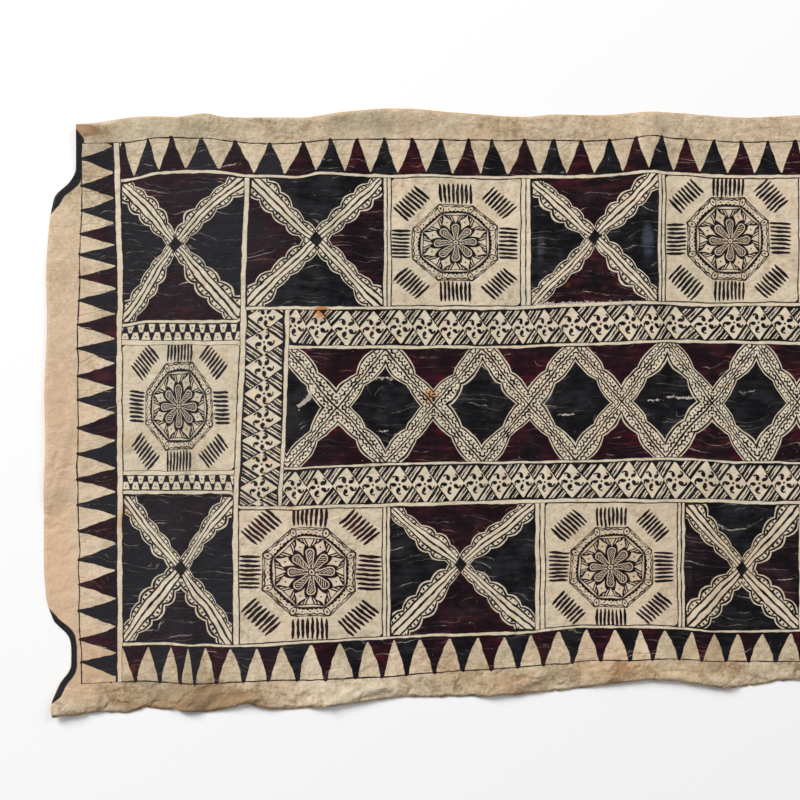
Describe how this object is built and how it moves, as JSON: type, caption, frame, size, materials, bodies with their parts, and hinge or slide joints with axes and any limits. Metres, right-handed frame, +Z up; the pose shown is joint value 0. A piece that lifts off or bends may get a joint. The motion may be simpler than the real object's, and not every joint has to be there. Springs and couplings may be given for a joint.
{
  "type": "tapa bark cloth",
  "caption": "Wide sheet of painted beaten bark cloth, laid out flat with uneven edges, low folds and curled corners; a cover, wrap or wall cloth.",
  "frame": {"origin": "middle of the cloth's box on the surface it lies on", "axes": "+X along the length of the cloth, towards its plain right end; +Y across it, towards its upper edge; +Z up, out of the painted face"},
  "size_m": [1.4, 0.7599, 0.0081],
  "materials": {
    "painted_bark": "matte beaten bark with slightly glossy black and maroon painted fields"
  },
  "bodies": {
    "root": {"bark_cloth": "painted_bark"}
  },
  "joints": []
}
